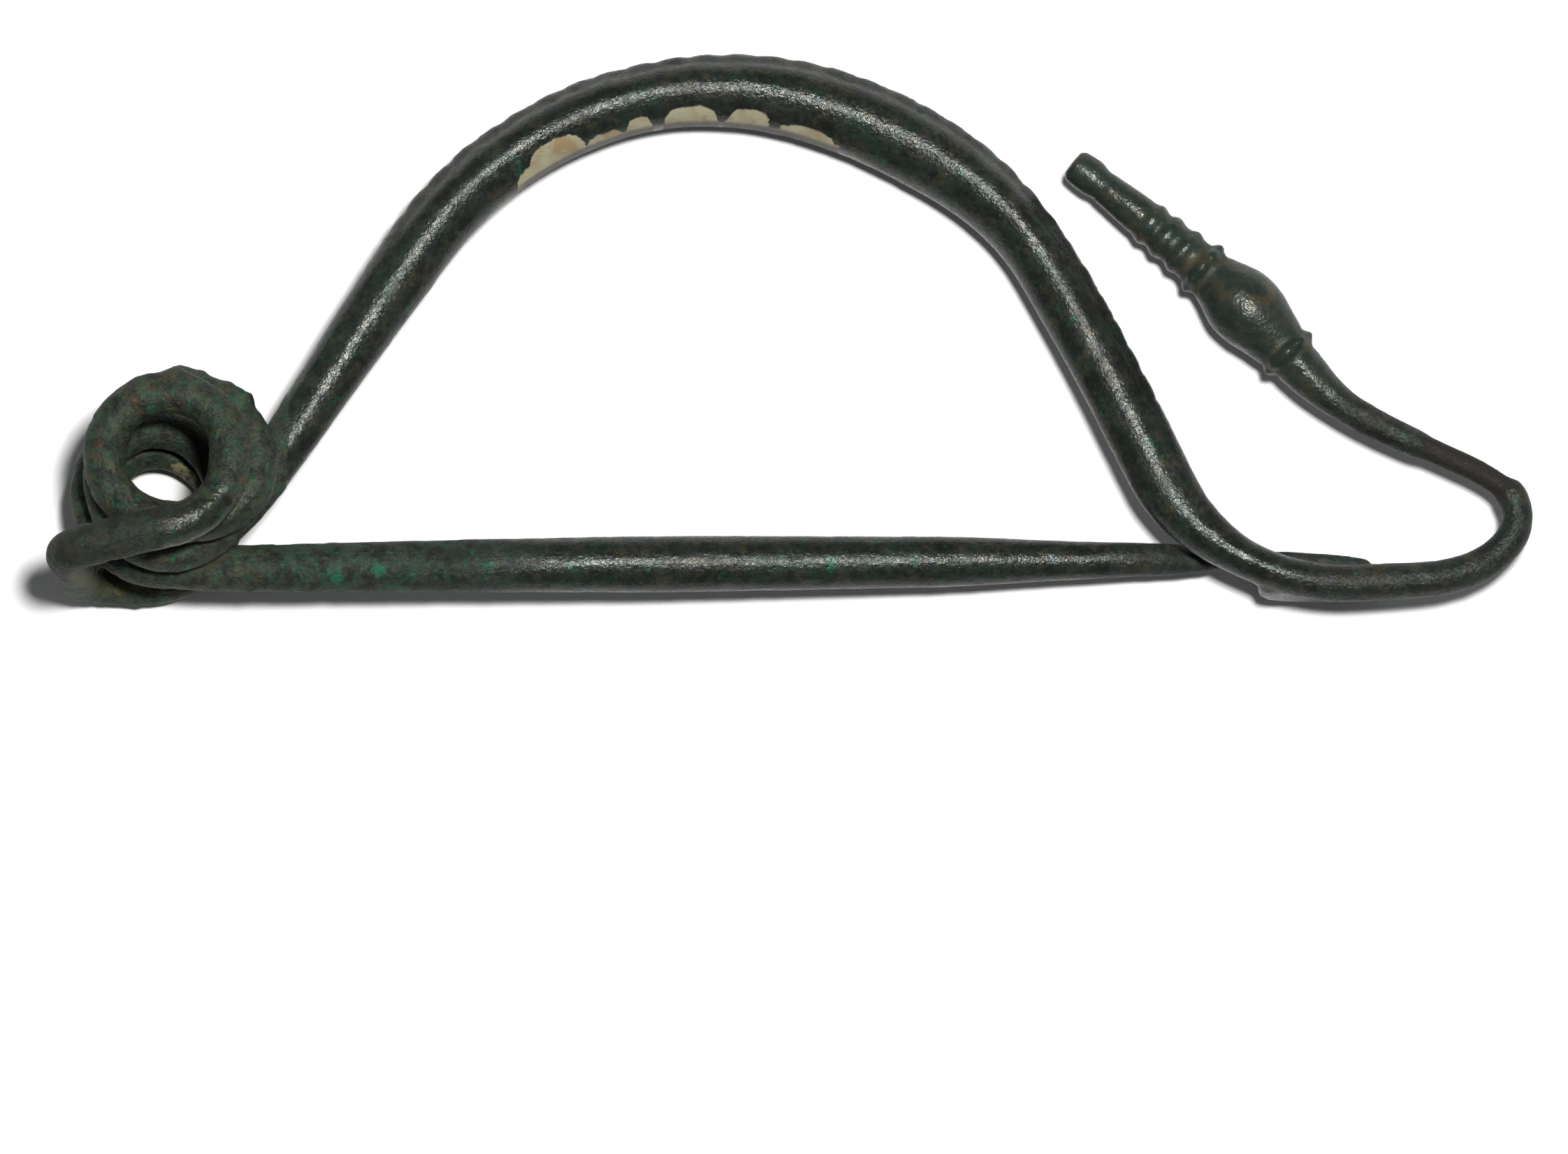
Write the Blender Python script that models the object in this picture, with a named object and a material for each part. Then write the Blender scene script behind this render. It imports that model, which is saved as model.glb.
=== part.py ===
"""Fibula brooch of early La Tene form, lying on its far side.

One cast and hammered wire makes the whole brooch: the pin, two coils of spring, an outer
chord, two more coils, the arched bow, the foot with its catch, the return loop and the
moulded end that points back to the bow. It is modelled as one solid, in metres, +Z up.
"""
import math

import bmesh
import bpy
import numpy as np
from mathutils import Vector

MM = 0.001

# Spring
WIRE_RADIUS = 0.925 * MM
COIL_GAP = 0.11 * MM
COIL_PITCH = 2.0 * WIRE_RADIUS + COIL_GAP
# Share of a turn by which the wire holds back before it steps over to the next coil
COIL_LAG = 0.15
# From the middle plane to the wire of the bow on one side and of the pin on the other
MIDDLE_TO_WIRE = WIRE_RADIUS + COIL_GAP * 0.6
# The spring was bent by hand: its radius at each quarter turn, from the bow or the pin outward
NEAR_RADII = [r * MM for r in (3.47, 2.62, 3.48, 4.12, 2.75, 2.82, 2.81, 2.78, 3.50)]
FAR_RADII = [r * MM for r in (3.47, 3.10, 3.05, 3.00, 2.81, 2.60, 2.81, 3.00, 2.90)]
# Lean of the spring's axis, along X and Y for each unit of depth
SPRING_LEAN = (0.05, 0.19)
# Turns at which the wire leaves the coils, counted from straight below the axis
BOW_LEAVES = -0.148
CHORD_LEAVES = 1.975

# Chord that joins the outer ends of both halves of the spring
NEAR_CORNER = (-4.30 * MM, -3.68 * MM, MIDDLE_TO_WIRE + 2.0 * COIL_PITCH)
FAR_CORNER = (-3.45 * MM, -3.75 * MM, -MIDDLE_TO_WIRE - 2.0 * COIL_PITCH)
CORNER_RADIUS = 1.40 * MM

# Bow, foot, loop and returned end seen from the side: length and turn of each stretch
BOW_HEADING = 53.0
LEFT_LIMB = ((5.6, 4.0), (9.3, -1.5), (7.0, -24.5))
CROWN = ((13.8, -50.5), (5.8, -15.0), (6.0, -25.5))
RIGHT_LIMB = ((10.2, -4.5),)
FOOT = ((2.9, 22.5), (7.7, 46.0), (2.7, -1.5))
LOOP = ((2.4, 20.5), (2.3, 35.0), (2.3, 86.0), (2.5, 13.5))
RETURN = ((4.0, -3.5), (4.0, -24.5), (4.6, 7.5), (6.0, 4.5), (2.8, 1.5))
LIMB_END = sum(length for length, _ in LEFT_LIMB) * MM
CROWN_END = LIMB_END + sum(length for length, _ in CROWN) * MM
LOWER_END = CROWN_END + sum(length for length, _ in RIGHT_LIMB) * MM
FOOT_END = LOWER_END + sum(length for length, _ in FOOT) * MM
LOOP_END = FOOT_END + sum(length for length, _ in LOOP) * MM
# Depth of the bow in front of the middle plane, and the length over which it gets there
BOW_DEPTH = 0.2 * MM
BOW_EASE = 4.0 * MM

# Bow section
BOW_THICK_SPRING = 2.20 * MM
BOW_THICK_LIMB = 3.00 * MM
BOW_THICK_CROWN = 3.55 * MM
BOW_THICK_LOWER = 2.85 * MM
BOW_WIDTH_SPRING = 2.15 * MM
BOW_WIDTH_CROWN = 3.60 * MM
BOW_WIDTH_LOWER = 2.50 * MM
FOOT_THICK = 1.58 * MM
FOOT_WIDTH = 1.80 * MM
LOOP_THICK = 1.40 * MM
# Thickness: where it has grown from the spring's wire, where the left limb ends, where the bow is
# fullest and where it has thinned before the end of the crown, and the taper down to the foot
THICK_FROM = 1.5 * MM
THICK_LIMB_SHARE = 0.75
THICK_LIMB_TO = LIMB_END + 4.0 * MM
CROWN_FULL = (11.0 * MM, 9.0 * MM)
CROWN_THINNED = 1.0 * MM
FOOT_TAPER = (-0.5 * MM, 6.2 * MM)
# Width: where it has grown from the spring's wire, where it starts to narrow before the end of
# the crown, where the lower bow is narrowest before its end, and the foot after it
WIDE_FROM = 2.0 * MM
CROWN_WIDE_TO = 6.0 * MM
LOWER_NARROW = 2.0 * MM
FOOT_NARROW = 8.0 * MM
# Length of the loop over which the foot's section turns round
LOOP_EASE = 4.0 * MM
# Where the round wire has become the bow, and the lengths over which it does so and ends
BOW_SHAPED_FROM = 2.0 * MM
BOW_SHAPED_EASE = 8.0 * MM
BOW_ROUND_EASE = 4.0 * MM

# Notched crest along the back of the bow, from the start of the bow
CREST_FROM = 13.0 * MM
CREST_TO = LOWER_END - 1.2 * MM
CREST_EASE = 3.0 * MM
NOTCH_PITCH = 1.34 * MM
NOTCH_DEPTH = 0.16 * MM
# Half width of a notch as a share of the pitch, and its depth beside the ridge
NOTCH_HALF = 0.2
NOTCH_BESIDE = 0.8

# Old repair in the return loop, a thinner length of wire
REPAIR_FROM = LOOP_END - 2.6 * MM
REPAIR_TO = LOOP_END + 1.5 * MM
REPAIR_THICK = 0.98 * MM
STEP_LENGTH = 0.12 * MM

# Returned end, as radii and as places measured back from its cut end
END_FACE = 0.64 * MM
END_EDGE = (0.12 * MM, 0.76 * MM)
END_BLOCK = ((0.70 * MM, 0.81 * MM), (1.10 * MM, 0.81 * MM))
NECK_THIN = (1.55 * MM, 0.69 * MM)
NECK_MIDDLE = (3.20 * MM, 0.83 * MM)
NECK_FULL = 1.02 * MM
NECK_RINGS = (4.30 * MM, 5.20 * MM, 6.20 * MM)
NECK_RING_RISE = 0.12 * MM
NECK_RING_WIDTH = 0.55 * MM
OUTER_COLLAR = 7.30 * MM
INNER_COLLAR = 12.60 * MM
COLLAR_RADIUS = 1.40 * MM
COLLAR_WIDTH = 0.60 * MM
KNOB_OUTER_END = (7.75 * MM, 1.14 * MM)
KNOB_FULLEST = ((9.50 * MM, 1.69 * MM), (9.90 * MM, 1.69 * MM))
KNOB_INNER_END = (12.60 * MM, 1.17 * MM)
TAIL_FROM = (12.95 * MM, 1.04 * MM)
TAIL_MIDDLE = (16.30 * MM, 0.68 * MM)
TAIL_THIN = (19.90 * MM, 0.60 * MM)

# Pin
PIN_EASE = 9.0 * MM
PIN_RADIUS_SPRING = 1.08 * MM
PIN_RADIUS_MAX = 1.24 * MM
PIN_RADIUS_MIDDLE = 1.15 * MM
PIN_RADIUS_CATCH = 0.72 * MM
PIN_RADIUS_TIP = 0.16 * MM
# Gap between the pin and the bow where the pin passes behind it
PIN_CLEAR = 0.18 * MM
PIN_BEHIND = BOW_WIDTH_LOWER / 2.0 + PIN_RADIUS_CATCH + PIN_CLEAR
# Pin's tip above the middle of the foot, and past the near end of the catch
PIN_ABOVE_FOOT = 1.38 * MM
PIN_IN_CATCH = 1.30 * MM

# Catch: the foot is hammered out, folded under the pin and turned up behind it
CATCH_LEAD = 4.5 * MM
CATCH_LENGTH = 5.2 * MM
CATCH_THICK = 0.60 * MM
CATCH_BEHIND_PIN = 1.40 * MM
CATCH_BEND = 1.30 * MM
CATCH_CHAMFER = 0.15 * MM
CATCH_LIFT = 0.25 * MM
CATCH_TOP_FROM = 1.90 * MM
CATCH_TOP_TO = 1.62 * MM
CATCH_ROOT = 0.10 * MM

# Small flats where the brooch touches what it lies on
REST_FLAT = 0.06 * MM

# Fineness of the solid
SIDES = 14
TRACE = 0.1 * MM
SOFTEN = 30
COIL_POINTS = 120
EASE_STEPS = 20
CORNER_STEPS = 12
BEND_STEPS = 6
BEAD_SHARES = (-0.5, -0.25, 0.0, 0.25, 0.5)
# Rings of points on the left limb, from the start of the bow, and on the foot and the loop
LIMB_RINGS_FROM = 1.3 * MM
LIMB_RING_STEP = 1.6 * MM
FOOT_RING_STEP = 0.85 * MM

# Half outline of the bow from the crest round the near side to the underside, as shares of
# its half thickness and half width
CREST_OUTLINE = (
    (1.00, 0.00),
    (0.97, 0.25),
    (0.70, 0.44),
    (0.58, 0.72),
    (0.14, 1.00),
    (-0.46, 0.86),
    (-0.88, 0.52),
    (-1.00, 0.00),
)
CREST_POINTS = 3


def ease(t):
    """Smooth step from 0 to 1."""
    t = min(max(t, 0.0), 1.0)
    return t * t * (3.0 - 2.0 * t)


def along(stations, s):
    """Value at s, eased from one (place, value) pair to the next."""
    if s <= stations[0][0]:
        return stations[0][1]
    for (a, va), (b, vb) in zip(stations, stations[1:]):
        if s <= b:
            return va + (vb - va) * ease((s - a) / (b - a))
    return stations[-1][1]


def coil_point(side, radii, turns):
    """Point of the spring after so many turns from straight below its axis, going outward."""
    quarter = min(max(turns * 4.0, 0.0), len(radii) - 1.0)
    low = min(int(quarter), len(radii) - 2)
    radius = radii[low] + (radii[low + 1] - radii[low]) * ease(quarter - low)
    held = COIL_LAG * (1.0 - math.cos(2.0 * math.pi * turns)) / 2.0
    z = side * (MIDDLE_TO_WIRE + COIL_PITCH * (turns - held))
    angle = -math.pi / 2.0 - 2.0 * math.pi * turns
    x = SPRING_LEAN[0] * z + radius * math.cos(angle)
    y = SPRING_LEAN[1] * z + radius * math.sin(angle)
    return np.array((x, y, z))


def coil(side, radii, first, last):
    """Points of one half of the spring, from one count of turns to another."""
    count = int(abs(last - first) * COIL_POINTS)
    return [coil_point(side, radii, first + (last - first) * i / count) for i in range(count + 1)]


def rounded(before, corner, after):
    """Round corner between two straight lengths of wire."""
    first = corner + (before - corner) / np.linalg.norm(before - corner) * CORNER_RADIUS
    last = corner + (after - corner) / np.linalg.norm(after - corner) * CORNER_RADIUS
    steps = [i / CORNER_STEPS for i in range(CORNER_STEPS + 1)]
    return [first * (1 - t) ** 2 + corner * 2 * t * (1 - t) + last * t * t for t in steps]


def pin_points(tip, root, direction):
    """Pin from its tip to the spring, where it eases into the first coil."""
    straight = (tip - root) / np.linalg.norm(tip - root)
    meet = root + straight * PIN_EASE
    points = [tip, meet]
    for i in range(1, EASE_STEPS):
        t = i / EASE_STEPS
        h = (2 * t ** 3 - 3 * t ** 2 + 1, t ** 3 - 2 * t ** 2 + t, -2 * t ** 3 + 3 * t ** 2, t ** 3 - t ** 2)
        points.append(meet * h[0] - straight * PIN_EASE * h[1] + root * h[2] - direction * PIN_EASE * h[3])
    return points


def bow_points(start):
    """Bow, foot, loop and returned end, as arcs in the plane of the bow."""
    x, y, z = start
    heading = math.radians(BOW_HEADING)
    points = []
    done = 0.0
    for length, turn in LEFT_LIMB + CROWN + RIGHT_LIMB + FOOT + LOOP + RETURN:
        count = max(2, round(length * MM / TRACE))
        step = length * MM / count
        for _ in range(count):
            heading += math.radians(turn) / count / 2.0
            x += step * math.cos(heading)
            y += step * math.sin(heading)
            heading += math.radians(turn) / count / 2.0
            done += step
            depth = z + (BOW_DEPTH - z) * ease(done / BOW_EASE)
            points.append(np.array((x, y, depth)))
    return points


def foot_place(bow):
    """Middle of the foot where it has levelled out, past the lower end of the bow."""
    level = LOWER_END + sum(length for length, _ in FOOT[:2]) * MM
    return bow[round(level / TRACE)]


def wire_line():
    """Middle line of the whole wire from the pin's tip, where each part starts, and the foot."""
    far = coil(-1, FAR_RADII, 0.0, 2.0)
    near = coil(1, NEAR_RADII, CHORD_LEAVES, BOW_LEAVES)
    bow = bow_points(near[-1])
    foot = foot_place(bow)
    tip = foot + np.array((PIN_IN_CATCH - CATCH_LEAD, PIN_ABOVE_FOOT, -PIN_BEHIND))
    leaving = far[1] - far[0]
    pin = pin_points(tip, far[0], -leaving / np.linalg.norm(leaving))
    far_corner = np.array(FAR_CORNER)
    near_corner = np.array(NEAR_CORNER)
    chord = rounded(far[-1], far_corner, near_corner) + rounded(far_corner, near_corner, near[0])
    points = []
    starts = []
    length = 0.0
    for stretch in (pin, far, chord, near, bow):
        for point in stretch:
            if points:
                length += np.linalg.norm(point - points[-1])
            if point is stretch[0]:
                starts.append(length)
            points.append(point)
    return np.array(points), starts + [length], foot


def traced(points):
    """The line at even steps, softened where its stretches meet, with its places."""
    lengths = np.linalg.norm(np.diff(points, axis=0), axis=1)
    places = np.concatenate(([0.0], np.cumsum(lengths)))
    even = np.linspace(0.0, places[-1], int(places[-1] / TRACE) + 1)
    line = np.stack([np.interp(even, places, points[:, k]) for k in range(3)], axis=1)
    for _ in range(SOFTEN):
        line[1:-1] = 0.25 * line[:-2] + 0.5 * line[1:-1] + 0.25 * line[2:]
    return even, line


def carried_frames(line, middle):
    """Directions along, outward and to the near side, carried along the line without twist."""
    ahead = np.gradient(line, axis=0)
    ahead /= np.linalg.norm(ahead, axis=1)[:, None]
    near = np.zeros_like(line)
    near[middle] = (0.0, 0.0, 1.0)
    orders = (range(middle + 1, len(line)), range(middle - 1, -1, -1))
    for order in orders:
        last = near[middle]
        for i in order:
            last = last - ahead[i] * np.dot(last, ahead[i])
            last = last / np.linalg.norm(last)
            near[i] = last
    outward = np.cross(near, ahead)
    return ahead, outward, near


def pin_radius(s, length):
    """Radius of the pin at a place from its tip."""
    stations = (
        (0.0, PIN_RADIUS_TIP),
        (0.12 * length, PIN_RADIUS_CATCH),
        (0.34 * length, PIN_RADIUS_MIDDLE),
        (0.55 * length, PIN_RADIUS_MAX),
        (0.88 * length, PIN_RADIUS_SPRING),
        (length, WIRE_RADIUS),
    )
    return along(stations, s)


def bump(distance, width):
    """Round bead of the given width, 1 at its middle and 0 at its edges."""
    return ease(1.0 - 2.0 * abs(distance) / width)


def end_radius(back):
    """Radius of the returned end at a distance back from its cut end."""
    outline = ((0.0, END_FACE), END_EDGE, *END_BLOCK, NECK_THIN, NECK_MIDDLE, (OUTER_COLLAR, NECK_FULL))
    outline += (KNOB_OUTER_END, *KNOB_FULLEST, KNOB_INNER_END, TAIL_FROM, TAIL_MIDDLE, TAIL_THIN)
    radius = along(outline, back)
    radius += sum(NECK_RING_RISE * bump(back - ring, NECK_RING_WIDTH) for ring in NECK_RINGS)
    for collar in (OUTER_COLLAR, INNER_COLLAR):
        radius += (COLLAR_RADIUS - radius) * bump(back - collar, COLLAR_WIDTH)
    return radius


def bow_sizes(s, length):
    """Half thickness and half width from the start of the bow to the cut end."""
    thick = (
        (0.0, 2.0 * WIRE_RADIUS),
        (THICK_FROM, BOW_THICK_SPRING),
        (THICK_LIMB_SHARE * LIMB_END, BOW_THICK_LIMB),
        (THICK_LIMB_TO, BOW_THICK_LIMB),
        (CROWN_END - CROWN_FULL[0], BOW_THICK_CROWN),
        (CROWN_END - CROWN_FULL[1], BOW_THICK_CROWN),
        (CROWN_END - CROWN_THINNED, BOW_THICK_LOWER),
        (LOWER_END + FOOT_TAPER[0], BOW_THICK_LOWER),
        (LOWER_END + FOOT_TAPER[1], FOOT_THICK),
        (FOOT_END, FOOT_THICK),
        (FOOT_END + LOOP_EASE, LOOP_THICK),
    )
    width = (
        (0.0, 2.0 * WIRE_RADIUS),
        (WIDE_FROM, BOW_WIDTH_SPRING),
        (LIMB_END, BOW_WIDTH_CROWN),
        (CROWN_END - CROWN_WIDE_TO, BOW_WIDTH_CROWN),
        (LOWER_END - LOWER_NARROW, BOW_WIDTH_LOWER),
        (LOWER_END + FOOT_NARROW, FOOT_WIDTH),
        (FOOT_END, FOOT_WIDTH),
        (FOOT_END + LOOP_EASE, LOOP_THICK),
    )
    if s > REPAIR_TO:
        radius = end_radius(length - s)
        return radius, radius
    if s > REPAIR_FROM:
        return REPAIR_THICK / 2.0, REPAIR_THICK / 2.0
    return along(thick, s) / 2.0, along(width, s) / 2.0


def notch(s):
    """Depth of the notches cut across the crest, 0 on its teeth and 1 in a notch."""
    share = ((s - CREST_FROM) / NOTCH_PITCH) % 1.0
    return max(0.0, 1.0 - min(share, 1.0 - share) / NOTCH_HALF)


def section(s, starts):
    """Offsets outward and to the near side of the points round the wire at one place."""
    _, pin_end, _, _, bow_start, end = starts
    b = s - bow_start
    if s < pin_end:
        half = (pin_radius(s, pin_end), pin_radius(s, pin_end))
    elif s < bow_start:
        half = (WIRE_RADIUS, WIRE_RADIUS)
    else:
        half = bow_sizes(b, end - bow_start)
    shaped = ease((b - BOW_SHAPED_FROM) / BOW_SHAPED_EASE) * (1.0 - ease((b - CREST_TO) / BOW_ROUND_EASE))
    crested = ease((b - CREST_FROM) / CREST_EASE) * ease((CREST_TO - b) / CREST_EASE)
    last = len(CREST_OUTLINE) - 1
    offsets = []
    for i in range(SIDES):
        k = min(i, SIDES - i)
        out = math.cos(math.pi * k / last)
        near = math.sin(math.pi * k / last)
        crest_out, crest_near = CREST_OUTLINE[k]
        if k < CREST_POINTS:
            crest_out = out + (crest_out - out) * crested
            crest_near = near + (crest_near - near) * crested
        out = (out + (crest_out - out) * shaped) * half[0]
        near = (near + (crest_near - near) * shaped) * half[1]
        cut = NOTCH_DEPTH * notch(b) * crested
        if k == 0:
            out -= cut
        elif k == 1:
            out -= cut * NOTCH_BESIDE
        offsets.append((out, near if i <= last else -near))
    return offsets


def ring_places(starts):
    """Places of the rings of points along the wire, close together where the shape is fine."""
    _, pin_end, chord_start, near_start, bow_start, end = starts
    end -= bow_start
    places = list(np.linspace(0.0, 0.12 * pin_end, 6))
    places += list(np.linspace(0.12 * pin_end, pin_end, 15)[1:])
    places += list(np.linspace(pin_end, chord_start, 37)[1:])
    places += list(np.linspace(chord_start, near_start, 19)[1:])
    places += list(np.linspace(near_start, bow_start, 39)[1:])
    bow = list(np.arange(LIMB_RINGS_FROM, CREST_FROM, LIMB_RING_STEP))
    for n in range(int((CREST_TO - CREST_FROM) / NOTCH_PITCH) + 1):
        shares = (0.0, NOTCH_HALF, 0.5, 1.0 - NOTCH_HALF)
        bow += [CREST_FROM + NOTCH_PITCH * (n + share) for share in shares]
    bow += list(np.arange(CREST_TO + NOTCH_PITCH, REPAIR_FROM - STEP_LENGTH, FOOT_RING_STEP))
    for step in (REPAIR_FROM, REPAIR_TO):
        bow += [step - STEP_LENGTH / 2.0, step + STEP_LENGTH / 2.0]
    bow += list(np.linspace(REPAIR_FROM, REPAIR_TO, 6)[1:-1])
    bow += list(np.linspace(REPAIR_TO, end - INNER_COLLAR - COLLAR_WIDTH, 7)[1:])
    for collar in (INNER_COLLAR, OUTER_COLLAR):
        bow += [end - collar + COLLAR_WIDTH * share for share in BEAD_SHARES]
    knob_from = end - INNER_COLLAR + COLLAR_WIDTH / 2.0
    knob_to = end - OUTER_COLLAR - COLLAR_WIDTH / 2.0
    bow += list(np.linspace(knob_from, knob_to, 12)[1:-1])
    for ring in NECK_RINGS:
        bow += [end - ring + NECK_RING_WIDTH * share for share in BEAD_SHARES]
    bow += [end - place for place, _ in (NECK_MIDDLE, NECK_THIN, *END_BLOCK, END_EDGE, (0.0, END_FACE))]
    places += sorted(bow_start + b for b in bow)
    return places


def wire_mesh():
    """The wire as one closed skin of rings, from the pin's tip to the cut end."""
    points, starts, _ = wire_line()
    even, line = traced(points)
    crown = starts[4] + LIMB_END
    _, outward, near = carried_frames(line, int(np.searchsorted(even, crown)))
    mesh = bmesh.new()
    rings = []
    for s in ring_places(starts):
        here = np.array([np.interp(s, even, line[:, k]) for k in range(3)])
        i = min(int(round(s / even[1])), len(even) - 1)
        rings.append([mesh.verts.new(here + outward[i] * o + near[i] * n) for o, n in section(s, starts)])
    for a, b in zip(rings, rings[1:]):
        for j in range(SIDES):
            k = (j + 1) % SIDES
            mesh.faces.new((a[j], a[k], b[k], b[j]))
    mesh.faces.new(list(reversed(rings[0])))
    mesh.faces.new(rings[-1])
    return mesh


def catch_outline(foot, top):
    """Outline of the catch across the foot: root, floor, bend and upright flange."""
    bottom = foot[1] - FOOT_THICK / 2.0 + CATCH_LIFT
    back = foot[2] - PIN_BEHIND - CATCH_BEHIND_PIN
    root = foot[2] - CATCH_ROOT
    centre = (back + CATCH_BEND, bottom + CATCH_BEND)
    inner = CATCH_BEND - CATCH_THICK
    outline = [(root, bottom + CATCH_THICK), (root, bottom + CATCH_CHAMFER)]
    turns = [math.radians(-90.0 - 90.0 * i / (BEND_STEPS - 1)) for i in range(BEND_STEPS)]
    outline += [(centre[0] + CATCH_BEND * math.cos(a), centre[1] + CATCH_BEND * math.sin(a)) for a in turns]
    outline += [(back, top - CATCH_CHAMFER), (back + CATCH_CHAMFER, top)]
    front = back + CATCH_THICK
    outline += [(front - CATCH_CHAMFER, top), (front, top - CATCH_CHAMFER)]
    outline += [(centre[0] + inner * math.cos(a), centre[1] + inner * math.sin(a)) for a in reversed(turns)]
    return outline


def catch_mesh():
    """Folded catch, lower at its outer end."""
    _, _, foot = wire_line()
    start = foot[0] - CATCH_LEAD
    mesh = bmesh.new()
    ends = []
    for x, rise in ((start, CATCH_TOP_FROM), (start + CATCH_LENGTH, CATCH_TOP_TO)):
        ends.append([mesh.verts.new((x, y, z)) for z, y in catch_outline(foot, foot[1] + rise)])
    for j in range(len(ends[0])):
        k = (j + 1) % len(ends[0])
        mesh.faces.new((ends[0][j], ends[0][k], ends[1][k], ends[1][j]))
    mesh.faces.new(list(reversed(ends[0])))
    mesh.faces.new(ends[1])
    bmesh.ops.recalc_face_normals(mesh, faces=mesh.faces)
    return mesh


def as_object(name, mesh):
    """Object in the scene that holds a bmesh."""
    data = bpy.data.meshes.new(name)
    mesh.to_mesh(data)
    mesh.free()
    thing = bpy.data.objects.new(name, data)
    bpy.context.scene.collection.objects.link(thing)
    return thing


def united(body, addition):
    """One closed skin of the body with the addition joined to it."""
    join = body.modifiers.new("join", "BOOLEAN")
    join.operation = "UNION"
    join.solver = "EXACT"
    join.object = addition
    graph = bpy.context.evaluated_depsgraph_get()
    data = bpy.data.meshes.new_from_object(body.evaluated_get(graph))
    body.modifiers.clear()
    body.data = data
    bpy.data.objects.remove(addition)


def mass_centre(mesh):
    """Centre of volume of a closed triangle mesh."""
    total = 0.0
    centre = Vector((0.0, 0.0, 0.0))
    for a, b, c in ((v.co for v in face.verts) for face in mesh.faces):
        volume = a.dot(b.cross(c)) / 6.0
        total += volume
        centre += (a + b + c) * (volume / 4.0)
    return centre / total


def resting_normal(mesh):
    """Outward direction of the hull's facet on the far side that lies under the mass."""
    centre = mass_centre(mesh)
    hull = bmesh.new()
    for vert in mesh.verts:
        hull.verts.new(vert.co)
    bmesh.ops.convex_hull(hull, input=hull.verts, use_existing_faces=False)
    hull.normal_update()
    best = None
    for face in hull.faces:
        normal = face.normal.copy()
        if normal.z > -0.9:
            continue
        foot = centre - normal * (centre - face.verts[0].co).dot(normal)
        edges = [(b.co - a.co).cross(foot - a.co).dot(normal)
                 for a, b in zip(face.verts, list(face.verts[1:]) + [face.verts[0]])]
        if best is None or min(edges) > best[0]:
            best = (min(edges), normal)
    hull.free()
    return best[1]


def lay_down(thing):
    """Turn the brooch onto its resting facet, cut the small flats and centre it."""
    mesh = bmesh.new()
    mesh.from_mesh(thing.data)
    bmesh.ops.triangulate(mesh, faces=mesh.faces)
    turn = resting_normal(mesh).rotation_difference(Vector((0.0, 0.0, -1.0))).to_matrix()
    bmesh.ops.transform(mesh, matrix=turn.to_4x4(), verts=mesh.verts)
    floor = min(v.co.z for v in mesh.verts) + REST_FLAT
    parts = mesh.verts[:] + mesh.edges[:] + mesh.faces[:]
    cut = bmesh.ops.bisect_plane(mesh, geom=parts, plane_co=(0.0, 0.0, floor), plane_no=(0.0, 0.0, -1.0),
                                 clear_outer=True)
    rim = [e for e in cut["geom_cut"] if isinstance(e, bmesh.types.BMEdge)]
    bmesh.ops.holes_fill(mesh, edges=rim)
    low = [min(v.co[k] for v in mesh.verts) for k in range(3)]
    high = [max(v.co[k] for v in mesh.verts) for k in range(3)]
    shift = Vector((-(low[0] + high[0]) / 2.0, -(low[1] + high[1]) / 2.0, -floor))
    bmesh.ops.translate(mesh, vec=shift, verts=mesh.verts)
    bmesh.ops.triangulate(mesh, faces=mesh.faces)
    mesh.to_mesh(thing.data)
    mesh.free()


def bronze():
    """Dark green-black patina of old bronze."""
    material = bpy.data.materials.new("bronze")
    material.use_nodes = True
    shader = material.node_tree.nodes["Principled BSDF"]
    shader.inputs["Base Color"].default_value = (0.030, 0.042, 0.036, 1.0)
    shader.inputs["Roughness"].default_value = 0.42
    shader.inputs["Metallic"].default_value = 0.35
    return material


def build():
    """Empty the scene and make the brooch."""
    for thing in list(bpy.data.objects):
        bpy.data.objects.remove(thing)
    brooch = as_object("brooch", wire_mesh())
    united(brooch, as_object("catch", catch_mesh()))
    lay_down(brooch)
    brooch.data.materials.clear()
    brooch.data.materials.append(bronze())
    brooch.data.shade_smooth()
    brooch.data.set_sharp_from_angle(angle=math.radians(40.0))


build()
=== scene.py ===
"""Fibula brooch of old bronze, lying on its side on a pale table and seen from above.

The solid of the brooch is taken over from the frame, made fine and given its real surface:
hammer marks, pits, corrosion crusts, the grooved crest and the beaded end. Its patina, soils,
green spots and the remains of a cream paint are one material that reads where it is on the wire.
"""
import math

import bpy
import numpy as np
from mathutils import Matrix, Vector
from mathutils.kdtree import KDTree


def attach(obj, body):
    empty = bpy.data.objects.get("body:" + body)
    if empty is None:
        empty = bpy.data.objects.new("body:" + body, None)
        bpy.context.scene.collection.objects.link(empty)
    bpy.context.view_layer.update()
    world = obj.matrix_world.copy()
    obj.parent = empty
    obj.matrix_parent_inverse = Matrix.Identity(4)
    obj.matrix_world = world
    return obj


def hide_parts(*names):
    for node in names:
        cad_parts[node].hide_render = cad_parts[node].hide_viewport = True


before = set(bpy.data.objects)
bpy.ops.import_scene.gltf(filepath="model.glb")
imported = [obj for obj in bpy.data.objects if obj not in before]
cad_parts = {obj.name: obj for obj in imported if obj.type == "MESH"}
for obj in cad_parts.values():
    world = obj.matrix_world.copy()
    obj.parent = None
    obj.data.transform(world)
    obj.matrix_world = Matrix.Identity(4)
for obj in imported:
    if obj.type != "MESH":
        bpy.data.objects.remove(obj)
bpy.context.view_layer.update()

# Pale table and soft light
# A plain white board carries the brooch. The main lamp is small and stands beside the camera, up
# and to the right, so each rod has a narrow highlight and a short shadow on its lower left.
for thing in bpy.context.selected_objects:
    thing.select_set(False)

# Middle and width of the view on the table, in metres, and the height at which it is that wide
VIEW_MIDDLE = (-0.0004, -0.0108)
VIEW_WIDTH = 0.06827
CAMERA_LENS = 400.0
CAMERA_SENSOR = 36.0
VIEW_HEIGHT = 0.005

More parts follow.
